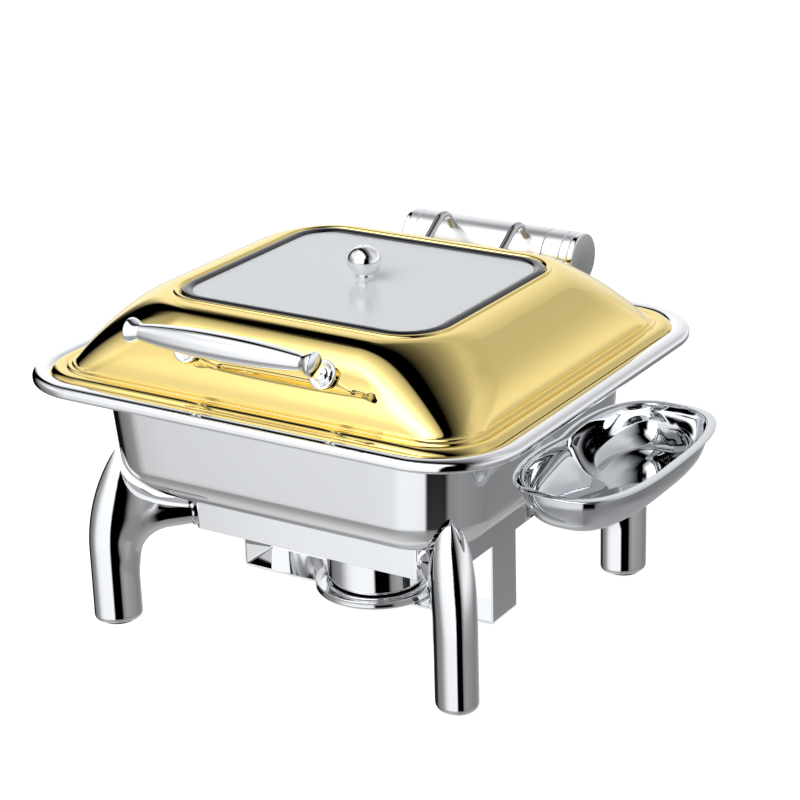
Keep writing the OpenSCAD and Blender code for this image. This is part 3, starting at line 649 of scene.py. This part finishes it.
def leg_field(p):
    """Below 0 inside the leg's uncut horn and arm, both in the leg's own frame."""
    u, v, z = p.T
    outer = horn_outer(z)
    web = smooth((z - FRAME_HI.z + WEB_UNDER) / WEB_RISE) * (1 - smooth((z - FRAME_HI.z - 6) / 26))
    inner = LEG_DEEP + SWELL * np.clip((z - SWELL_Z) / 60, 0, 1) ** 2
    middle = (inner + outer) / 2
    ru = np.maximum((inner - outer) / 2, 1) + np.where(u > middle, WEB * web, 0)
    taper = (np.clip(z - TAPER_Z, 0, 60) / TAPER_OVER) ** TAPER_POWER
    rv = LEG_ACROSS * np.sqrt(np.clip(1 - taper, 0.008, 1))
    horn = (np.sqrt(((u - middle) / ru) ** 2 + (v / rv) ** 2) - 1) * np.minimum(ru, rv)
    cu, cz = BEND_U + BEND_R, ARM_Z - BEND_R
    du, dz = u - cu, z - cz
    off = np.where(u >= cu, dz - BEND_R, np.where(dz <= 0, -du - BEND_R, np.hypot(du, dz) - BEND_R))
    r = ARM_R + ARM_FLARE * np.clip((ARM_END - u) / 40, 0, 1) - ARM_THIN * smooth((8 - dz) / 46)
    arm = np.hypot(off, v) - r
    body = blend_min(horn, arm, BLEND)
    body = -blend_min(-body, z - PAD_H, BLEND)
    body = np.maximum(body, z - LEG_TIP - 8)
    return -blend_min(-body, ARM_END - u, END_BLEND)


def settle(points, edges, field, rounds=4):
    """Spread a mesh's points evenly and pull them on to the zero of the field."""
    ends = np.vstack([edges, edges[:, ::-1]])
    count = np.bincount(ends[:, 0], minlength=len(points))[:, None]
    for k in range(rounds):
        for _ in range(2 if k < rounds - 1 else 0):
            total = np.stack([np.bincount(ends[:, 0], points[ends[:, 1], axis], len(points))
                              for axis in range(3)], 1)
            points = points + 0.6 * (total / count - points)
        for _ in range(5):
            value = field(points)
            slope = np.stack([(field(points + e) - field(points - e)) / 0.1 for e in np.eye(3) * 0.05], 1)
            step = slope * (value / np.maximum((slope ** 2).sum(1), 0.05))[:, None]
            length = np.linalg.norm(step, axis=1, keepdims=True)
            points = points - step * np.minimum(1, 2.0 / np.maximum(length, 1e-6))
    return points


def evaluated(mesh, add):
    """Vertices, edges and faces of a mesh after the modifiers that add() puts on it."""
    obj = bpy.data.objects.new("work", mesh)
    bpy.context.scene.collection.objects.link(obj)
    add(obj)
    shape = obj.evaluated_get(bpy.context.evaluated_depsgraph_get()).to_mesh()
    verts = np.array([v.co[:] for v in shape.vertices])
    edges = np.array([e.vertices[:] for e in shape.edges])
    faces = [tuple(f.vertices) for f in shape.polygons]
    bpy.data.objects.remove(obj)
    bpy.data.meshes.remove(mesh)
    return verts, edges, faces


def raw_mesh(verts, faces):
    mesh = bpy.data.meshes.new("work")
    mesh.from_pydata([tuple(v) for v in verts], [], faces)
    bm = bmesh.new()
    bm.from_mesh(mesh)
    bmesh.ops.recalc_face_normals(bm, faces=bm.faces)
    bm.to_mesh(mesh)
    bm.free()
    return mesh


def cleaned(verts, faces, near=0.03):
    """The largest connected part of a shape, without slivers."""
    mesh = raw_mesh(verts, faces)
    bm = bmesh.new()
    bm.from_mesh(mesh)
    bpy.data.meshes.remove(mesh)
    bmesh.ops.triangulate(bm, faces=bm.faces)
    bmesh.ops.remove_doubles(bm, verts=bm.verts, dist=near)
    bmesh.ops.dissolve_degenerate(bm, dist=near / 3, edges=bm.edges)
    bmesh.ops.triangulate(bm, faces=bm.faces)
    left, best = set(bm.faces), set()
    while left:
        stack = [left.pop()]
        part = set(stack)
        while stack:
            for edge in stack.pop().edges:
                for face in edge.link_faces:
                    if face in left:
                        left.remove(face)
                        part.add(face)
                        stack.append(face)
        best = max(best, part, key=len)
    bmesh.ops.delete(bm, geom=[f for f in bm.faces if f not in best], context="FACES")
    bm.verts.index_update()
    verts = np.array([v.co[:] for v in bm.verts])
    faces = [tuple(v.index for v in f.verts) for f in bm.faces]
    bm.free()
    return verts, faces


def merged(*parts):
    """Several shapes as one."""
    verts, faces = [], []
    for v, f in parts:
        faces += [tuple(i + len(verts) for i in face) for face in f]
        verts += list(v)
    return verts, faces


def scoop(v, z):
    """U where the hollow in the horn's inner side starts."""
    dip = DIP * max(0.0, 1 - (v / DIP_HALF) ** 2)
    return SCOOP_U + SCOOP_WIDE * math.exp((FRAME_HI.z - z - dip) / SCOOP_FALL) - 0.25 * dip


def rough_horn():
    """Stacked ovals a little larger than the horn."""
    rings = []
    for z in np.linspace(PAD_H + 1, LEG_TIP + 6, 40):
        outer = float(horn_outer(np.array(z)))
        taper = (max(z - TAPER_Z, 0) / TAPER_OVER) ** TAPER_POWER
        half = max(LEG_ACROSS * math.sqrt(max(1 - taper, 0.01)), 1.5)
        inner = LEG_DEEP + WEB * float(smooth((z - FRAME_HI.z + WEB_UNDER) / WEB_RISE))
        rings.append([((outer + inner) / 2 + (inner - outer) / 2 * math.cos(a), half * math.sin(a), z)
                      for a in turns(40)])
    return grid(rings)


def rough_arm():
    """A plain bent tube for the arm."""
    path = [(BEND_U, ARM_Z - BEND_R - 20, 90)]
    for t in range(0, 91, 6):
        a = math.radians(t)
        path.append((BEND_U + BEND_R * (1 - math.cos(a)), ARM_Z - BEND_R + BEND_R * math.sin(a), 90 - t))
    path.append((ARM_END - 0.5, ARM_Z, 0))
    rings = []
    for u, z, heading in path:
        h = math.radians(heading)
        rings.append([(u - math.sin(h) * ARM_R * math.cos(a), ARM_R * math.sin(a),
                       z + math.cos(h) * ARM_R * math.cos(a)) for a in turns(36)])
    return grid(rings)


def leg_shape():
    """One leg in its own frame: horn and arm as one skin, with the hollow cut out of its inner side."""
    mesh = raw_mesh(*merged(rough_horn(), rough_arm()))

    def remesh(obj):
        mod = obj.modifiers.new("remesh", "REMESH")
        mod.mode = "VOXEL"
        mod.voxel_size = VOXEL

    verts, edges, faces = evaluated(mesh, remesh)
    verts = settle(verts, edges, leg_field)
    levels = np.linspace(FRAME_HI.z - 13.5, LEG_TIP + 16, 120)
    near, far = 90.0, 110.0
    blades = []
    for v in np.linspace(-24, 24, 65):
        curve = [(min(scoop(v, z), near), v, z) for z in levels]
        blades.append(curve + [(far, v, levels[-1]), (far, v, levels[0])])
    cutter = bpy.data.objects.new("cutter", raw_mesh(*grid(blades)))
    bpy.context.scene.collection.objects.link(cutter)

    def cut(obj):
        mod = obj.modifiers.new("cut", "BOOLEAN")
        mod.operation = "DIFFERENCE"
        mod.solver = "EXACT"
        mod.object = cutter

    verts, edges, faces = evaluated(raw_mesh(verts, faces), cut)
    blade = cutter.data
    bpy.data.objects.remove(cutter)
    bpy.data.meshes.remove(blade)
    return cleaned(verts, faces)


def make_legs():
    verts, faces = leg_shape()
    for name, (sx, sy, turn) in LEGS.items():
        a = math.radians(turn)
        x = sx * LEG_X + verts[:, 0] * math.cos(a) - verts[:, 1] * math.sin(a)
        y = sy * LEG_Y + verts[:, 0] * math.sin(a) + verts[:, 1] * math.cos(a)
        piece(name + "_horn", np.stack([x, y, verts[:, 2]], 1), faces, name, sharp=26)


make_legs()


# ---- Frame and burner ---------------------------------------------------------------------------

FRAME_WIDE, FRAME_ROUND, FRAME_SHEET = 34.0, 3.0, 2.0
STRAP_SHEET, STRAP_EDGE = 2.0, 0.35


def corner_ring(points, radius, z, steps=6):
    """Ring round a polygon with its corners rounded."""
    ring = []
    n = len(points)
    for i in range(n):
        p, q, r = (Vector(points[(i + k) % n]) for k in (-1, 0, 1))
        a, b = (p - q).normalized(), (r - q).normalized()
        half = a.angle(b) / 2
        reach = radius / math.tan(half)
        centre = q + (a + b).normalized() * radius / math.sin(half)
        start, end = q + a * reach - centre, q + b * reach - centre
        for k in range(steps + 1):
            ring.append((*(centre + start.lerp(end, k / steps).normalized() * radius), z))
    return ring


def cut_box(x, y, cut):
    """Corners of a rectangle whose own corners are cut off."""
    return [(x - cut, -y), (x, cut - y), (x, y - cut), (x - cut, y),
            (cut - x, y), (-x, y - cut), (-x, cut - y), (cut - x, -y)]


def frame_ring(inset, z):
    cut = CHAMFER - inset * (2 - math.sqrt(2))
    radius = max(FRAME_ROUND - inset * 0.5, 0.6)
    return corner_ring(cut_box(FRAME_HI.x - inset, FRAME_HI.y - inset, cut), radius, z)


def window_ring(out, z):
    """Ring round the opening in the frame's top."""
    return corner_ring(cut_box(FRAME_HI.x - FRAME_WIDE + out, FRAME_HI.y - FRAME_WIDE + out, 6), 2.0, z)


def make_frame():
    top, foot, wall = FRAME_HI.z, FRAME_LO.z, FRAME_SHEET
    profile = joined([(wall, foot + 0.3), (wall - 0.3, foot)], [(0.3, foot), (0, foot + 0.3)],
                     [(0, top - 2.2)], bead((0, top - 2.2), (2.2, top), 0.9, 8))
    rings = [frame_ring(i, z) for i, z in profile]
    rings += [frame_ring(i, top) for i in (8.0, 20.0)]
    window = ((0.4, top), (0, top - 0.4), (0, top - wall + 0.3), (0.3, top - wall))
    rings += [window_ring(out, z) for out, z in window]
    rings += [frame_ring(i, top - wall) for i in (20.0, 8.0, 4.0)]
    rings += [frame_ring(wall, top - 4.2)]
    piece("frame_sheet", *grid(rings, loop=True), "stand_frame", sharp=40)


def ribbon(outline, y0, y1, edge):
    """A bent strip: a closed outline in X and Z, carried along Y with softened edges."""
    points = [Vector(p) for p in outline]
    n = len(points)
    inward = []
    for i in range(n):
        a, b = points[i] - points[i - 1], points[(i + 1) % n] - points[i]
        t = (a.normalized() + b.normalized()).normalized()
        inward.append(Vector((-t.y, t.x)))
    area = sum(points[i].x * points[(i + 1) % n].y - points[(i + 1) % n].x * points[i].y for i in range(n))
    sign = 1 if area > 0 else -1
    rings = []
    for y, inset in ((y0, edge), (y0 + edge, 0), (y1 - edge, 0), (y1, edge)):
        rings.append([(p.x + w.x * inset * sign, y, p.y + w.y * inset * sign)
                      for p, w in zip(points, inward)])
    return grid(rings)


def bent(path, thick, radius=3.0, steps=6):
    """Outline of a strip of sheet that follows a path of (x, z) with rounded bends."""
    left, right = [], []
    n = len(path)
    for i in range(n):
        q = Vector(path[i])
        if i in (0, n - 1):
            t = (Vector(path[1]) - q if i == 0 else q - Vector(path[-2])).normalized()
            w = Vector((-t.y, t.x)) * thick / 2
            left.append(q + w)
            right.append(q - w)
            continue
        a, b = (Vector(path[i - 1]) - q).normalized(), (Vector(path[i + 1]) - q).normalized()
        half = a.angle(b) / 2
        centre = q + (a + b).normalized() * radius / math.sin(half)
        reach = radius / math.tan(half)
        start, end = q + a * reach - centre, q + b * reach - centre
        turn = 1 if (-a).cross(b) > 0 else -1
        for k in range(steps + 1):
            ray = start.lerp(end, k / steps).normalized()
            left.append(centre + ray * (radius - turn * thick / 2))
            right.append(centre + ray * (radius + turn * thick / 2))
    return [tuple(p) for p in left + right[::-1]]


def make_strap():
    lo, hi = span("burner_bracket")
    x, z = hi.x - STRAP_SHEET / 2, lo.z + STRAP_SHEET / 2
    outline = bent([(-x, hi.z), (-x, z), (x, z), (x, hi.z)], STRAP_SHEET)
    piece("burner_strap", *ribbon(outline, lo.y, hi.y, STRAP_EDGE), "burner_bracket")


def make_dish():
    at, r, h = upright("burner_tray")
    dish = joined([(0.0, 0.0), (r - 3, 0.0)], bead((r - 3, 0), (r - 0.4, 2.6), -0.8, 8),
                  bead((r - 0.8, h - 1.2), (r - 1.4, h), -0.4, 8),
                  bead((r - 1.4, h), (r - 2.4, h - 1.0), -0.3, 5),
                  bead((r - 2.2, 3.0), (r - 4, 1.4), 0.5, 5), [(0.0, 1.4)])
    piece("burner_dish", *lathe(dish, at, 160), "burner_tray")


def make_can():
    at, r, h = upright("fuel_cup")
    can = joined([(0.0, 0.6), (r - 5, 0.6), (r - 4.4, 0)], bead((r - 4.4, 0), (r - 0.1, 3.4), -1.0, 8),
                 bead((r - 0.1, 3.4), (r - 0.9, 5.0), -0.3, 4), [(r - 0.9, h - 7), (r - 0.1, h - 5.8)],
                 bead((r - 0.1, h - 5.8), (r - 3.0, h - 0.4), -1.2, 10), [(24.0, h)],
                 bead((24.0, h), (23.0, h - 1.4), -0.3, 5),
                 [(24.0, h - 1.6), (r - 4.0, h - 1.6), (r - 2.0, h - 5.0), (r - 2.0, 4.0), (r - 5.0, 1.6),
                  (0.0, 1.6)])
    piece("fuel_can", *lathe(can, at, 160), "fuel_cup")


make_frame()
make_strap()
make_dish()
make_can()


# ---- Handle and knob ----------------------------------------------------------------------------

GRIP_LO, GRIP_HI = span("handle_grip")
GRIP_Y, GRIP_Z = (GRIP_LO.y + GRIP_HI.y) / 2, (GRIP_LO.z + GRIP_HI.z) / 2
GRIP_HALF, GRIP_R = GRIP_HI.x, (GRIP_HI.z - GRIP_LO.z) / 2
# Radii of the grip's thin neck and of its bell ends, and where each part ends as a share of its half length
NECK_R, BELL_R = 6.3, 9.7
SWELL_END, BELL_END, LIP_END = 0.855, 0.965, 0.982
FOOT_Y, FOOT_Z, POST_X = -151.0, 252.0, 61.0
KNOB_NECK, KNOB_FOOT_R = 1.2, 7.2


def make_grip():
    """A bar that swells in the middle, narrows to a neck near each end and flares to a bell."""
    side = []
    for i in range(41):
        share = i / 40
        side.append((GRIP_R - (GRIP_R - NECK_R) * share ** 2.4, SWELL_END * share * GRIP_HALF))
    start = side[-1][1]
    flare = [(NECK_R + (BELL_R - NECK_R) * math.sin(math.radians(90 * k / 18)) ** 1.6,
              start + (GRIP_HALF * BELL_END - start) * (k / 18) ** 0.95) for k in range(1, 19)]
    rim = (BELL_R - 0.8, GRIP_HALF * LIP_END)
    half = joined(side, flare, bead(flare[-1], rim, -0.3, 6), bead(rim, (0.0, GRIP_HALF - 0.05), -0.5, 12))
    profile = [(r, -h) for r, h in reversed(half)] + half[1:]
    piece("grip_bar", *lathe(profile, along_x(0, GRIP_Y, GRIP_Z), 96), "handle_grip", sharp=40)


def make_posts():
    foot, far = Vector((0, FOOT_Y, FOOT_Z)), Vector((0, GRIP_Y, GRIP_Z))
    tilt = math.atan2(far.z - foot.z, foot.y - far.y)
    top = (far - foot).length - 5.0
    post = joined([(0.0, 5.0), (4.0, 5.0), (4.0, 9.0)], bead((3.9, top - 9), (5.4, top - 2), 0.6, 8),
                  [(5.4, top), (0.0, top)])
    rose = joined([(0.0, 2.0), (10.6, 2.0)], bead((10.6, 2.0), (11.4, 3.4), -0.2, 4),
                  bead((11.4, 3.4), (9.8, 4.9), -0.5, 8), bead((9.8, 4.9), (6.2, 3.9), 0.25, 6),
                  bead((6.2, 3.9), (4.6, 5.0), 0.5, 6), [(4.4, 6.4), (0.0, 6.4)])
    lean = Matrix.Rotation(math.radians(90) - tilt, 4, "X")
    places = [Matrix.Translation((x, FOOT_Y, FOOT_Z)) @ lean for x in (-POST_X, POST_X)]
    piece("grip_posts", *merged(*(lathe(post, at, 48) for at in places)), "handle_posts")
    piece("grip_rosettes", *merged(*(lathe(rose, at, 72) for at in places)), "handle_rosettes")


def make_knob():
    """A ball, cut flat on top, on a collar that stands on the sunk pane."""
    at, r, h = upright("knob")
    tall = (h - KNOB_NECK) / 2
    ball = []
    for degrees in np.linspace(-58, 84, 60):
        a = math.radians(degrees)
        ball.append((r * math.cos(a), KNOB_NECK + tall * (1 + math.sin(a))))
    edge, top = ball[-1]
    profile = joined([(0.0, -PANE_SUNK), (KNOB_FOOT_R, -PANE_SUNK)],
                     bead((KNOB_FOOT_R, -PANE_SUNK), ball[0], -0.3, 6), ball,
                     [(edge - 0.15, top - 0.4), (0.0, top - 0.45)])
    piece("knob_ball", *lathe(profile, at, 96), "knob")


make_grip()
make_posts()
make_knob()


# ---- Hinge --------------------------------------------------------------------------------------

BARREL_LO, BARREL_HI = span("hinge_barrel")
HINGE_Y, HINGE_Z = (BARREL_LO.y + BARREL_HI.y) / 2, (BARREL_LO.z + BARREL_HI.z) / 2
BARREL_R, BARREL_HALF = (BARREL_HI.z - BARREL_LO.z) / 2, BARREL_HI.x
ROD_LO, ROD_HI = span("arm_right")
ROD_X, ROD_R = (ROD_LO.x + ROD_HI.x) / 2, (ROD_HI.x - ROD_LO.x) / 2
BORE_R, DRUM_SOFT = 6.1, 0.7
# Each sleeve has a groove round its top and front, this far from its inner end and between two angles, and a
# groove along it from there at each of these angles
SHELL_N, GROOVE_X, GROOVE_DEEP = 240, 17.5, 0.9
GROOVE_FROM, GROOVE_TO = 62, 212
SHELL_SOFT, SHELL_DROP = 0.7, 0.55
# An arm leaves the axis at ARM_UP degrees, rises, turns by ARM_TURN on a bend and falls to the lid
ARM_UP, ARM_TURN, ARM_BEND, ARM_RISE, ARM_FALL, ARM_ROOT = 128.0, 85.0, 12.0, 43.9, 54.0, 16.0


def make_drum():
    r, end, soft = BARREL_R, BARREL_HALF, DRUM_SOFT
    tube = joined([(BORE_R, -end)], bead((r - soft, -end), (r, soft - end), -0.2, 4),
                  bead((r, end - soft), (r - soft, end), -0.2, 4), [(BORE_R, end)])
    drum = lathe(tube, along_x(0, HINGE_Y, HINGE_Z), 128, loop=True)
    piece("hinge_drum", *drum, "hinge_barrel", MATERIALS["satin_steel"])


def groove(along, degrees):
    """Share of the grooves' depth at a place on a sleeve, along it from its inner end and round it."""
    across = min(abs((degrees - edge + 180) % 360 - 180) for edge in (GROOVE_FROM, GROOVE_TO))
    depth = max(0.0, 1 - abs(along - GROOVE_X) / 0.75) if GROOVE_FROM <= degrees <= GROOVE_TO else 0.0
    if along > GROOVE_X:
        depth = max(depth, 1 - across / 1.9)
    return min(1.0, 1.6 * max(0.0, depth))


def make_shell(side, name):
    lo, hi = span("hinge_sleeve_" + name)
    x0, x1 = (lo.x, hi.x) if side > 0 else (-hi.x, -lo.x)
    rings = []
    for x in [x0, x0 + 0.25, x0 + 0.7] + list(np.arange(x0 + 1.2, x1 - 1.0, 0.45)) + [x1 - 0.7, x1 - 0.2, x1]:
        drop = SHELL_DROP * max(0.0, 1 - min(x - x0, x1 - x) / SHELL_SOFT) ** 2
        ring = []
        for i in range(SHELL_N):
            degrees = 360 * i / SHELL_N
            a = math.radians(degrees)
            r = BARREL_R - drop - GROOVE_DEEP * groove(x - x0, degrees)
            ring.append((side * x, HINGE_Y + r * math.cos(a), HINGE_Z + r * math.sin(a)))
        rings.append(ring)
    piece("hinge_shell_" + name, *grid(rings), "hinge_sleeve_" + name, MATERIALS["satin_steel"], 28)


def make_cap(side, name):
    lo, hi = span("hinge_cap_" + name)
    r, h = BARREL_R, hi.x - lo.x
    cap = joined([(0.0, 0.0), (r - 0.5, 0.0)], bead((r - 0.5, 0), (r, 0.5), -0.15, 4),
                 bead((r, h - 1.3), (r - 1.3, h), -0.38, 8), [(0.0, h)])
    at = along_x(lo.x if side > 0 else hi.x, HINGE_Y, HINGE_Z, side)
    piece("hinge_end_" + name, *lathe(cap, at, 128), "hinge_cap_" + name)


def make_arm(side, name):
    up, turn = math.radians(ARM_UP), math.radians(ARM_TURN)
    straight = ARM_RISE - ARM_BEND * math.tan(turn / 2)
    cy = straight * math.cos(up) - ARM_BEND * math.sin(up)
    cz = straight * math.sin(up) + ARM_BEND * math.cos(up)
    path = [(ARM_ROOT * math.cos(up), ARM_ROOT * math.sin(up), up)]
    for i in range(31):
        heading = up + turn * i / 30
        path.append((cy + ARM_BEND * math.sin(heading), cz - ARM_BEND * math.cos(heading), heading))
    down = up + turn
    path.append((ARM_RISE * math.cos(up) + ARM_FALL * math.cos(down),
                 ARM_RISE * math.sin(up) + ARM_FALL * math.sin(down), down))
    rings = []
    for y, z, heading in path:
        rings.append([(side * ROD_X + ROD_R * math.cos(a),
                       HINGE_Y + y + math.sin(heading) * ROD_R * math.sin(a),
                       HINGE_Z + z - math.cos(heading) * ROD_R * math.sin(a)) for a in turns(40)])
    # The rods take a darker copy of polished steel: painted shade in place of the dim things they would
    # reflect
    piece("rod_" + name, *grid(rings), "arm_" + name, MATERIALS["arm_steel"])


make_drum()
for side, name in ((-1, "left"), (1, "right")):
    make_shell(side, name)
    make_cap(side, name)
for side, name in ((-1, "left"), (1, "right")):
    make_arm(side, name)


# ---- Spoon holder -------------------------------------------------------------------------------

BOWL_LO, BOWL_HI = span("spoon_bowl")
BOWL_X, BOWL_Y = (BOWL_LO.x + BOWL_HI.x) / 2, (BOWL_LO.y + BOWL_HI.y) / 2
BOWL_A, BOWL_B, BOWL_DEEP = (BOWL_HI.x - BOWL_LO.x) / 2, (BOWL_HI.y - BOWL_LO.y) / 2, BOWL_HI.z - BOWL_LO.z
BOWL_POWER, BOWL_N, BOWL_STEPS = 2.9, 288, 34
# The lip's width, how far in the bowl goes under it, how its side curves, and its sheet
BOWL_LIP, BOWL_IN, BOWL_CURVE, BOWL_SHEET = 7.0, 33.0, 0.79, 1.2
# The waist is a dent in the side by the pan: its depth at the lip, what it gains below, its width and its
# roundness
WAIST, WAIST_MORE, WAIST_WIDE, WAIST_ROUND = 5.0, 6, 26.0, 9


def bowl_ring(inset, waist, z, wide=WAIST_WIDE):
    ring = []
    a, b = BOWL_A - inset, BOWL_B - inset
    for t in turns(BOWL_N):
        c, s = math.cos(t) * BOWL_A, math.sin(t) * BOWL_B
        r = (abs(c / a) ** BOWL_POWER + abs(s / b) ** BOWL_POWER) ** (-1 / BOWL_POWER)
        x, y = r * c, r * s
        west = max(0.0, -x / a) ** 1.5
        dent = waist * west * math.exp((WAIST_ROUND - math.hypot(y, WAIST_ROUND)) / wide * 1.3)
        ring.append((BOWL_X + x + dent, BOWL_Y + y, BOWL_HI.z + z))
    return ring


def bowl_side(t, sheet):
    """Ring on the bowl's side, from the lip at t = 0 to the bottom at t = 1, or on its inner skin."""
    a = math.radians(90 * t)
    c, s = max(math.cos(a), 0) ** BOWL_CURVE, math.sin(a) ** BOWL_CURVE
    waist = WAIST + 0.5 + WAIST_MORE * math.sin(math.radians(135 * t)) ** 1.3
    return bowl_ring(BOWL_LIP + BOWL_IN * (1 - c) + sheet * math.cos(a), waist,
                     -2 - (BOWL_DEEP - 2) * s + sheet * math.sin(a), WAIST_WIDE - 4 * t)


def make_bowl():
    rings = [bowl_side(i / BOWL_STEPS, 0.0) for i in range(BOWL_STEPS, -1, -1)]
    lip = joined(bead((2.0, -1.9), (0.5, -1.5), 0.25, 4), bead((0.5, -1.5), (1.2, -0.35), 0.35, 6),
                 [(3.0, -0.05), (6.4, 0.0)], bead((6.4, 0.0), (8.3, -1.5), 0.45, 6))
    rings += [bowl_ring(inset, WAIST, z) for inset, z in lip]
    rings += [bowl_side(i / BOWL_STEPS, BOWL_SHEET) for i in range(2, BOWL_STEPS + 1)]
    # The dish takes a darker copy of polished steel: painted shade in place of the dim reflections inside it
    piece("spoon_dish", *grid(rings), "spoon_bowl", MATERIALS["dish_steel_painted_shade"])


make_bowl()
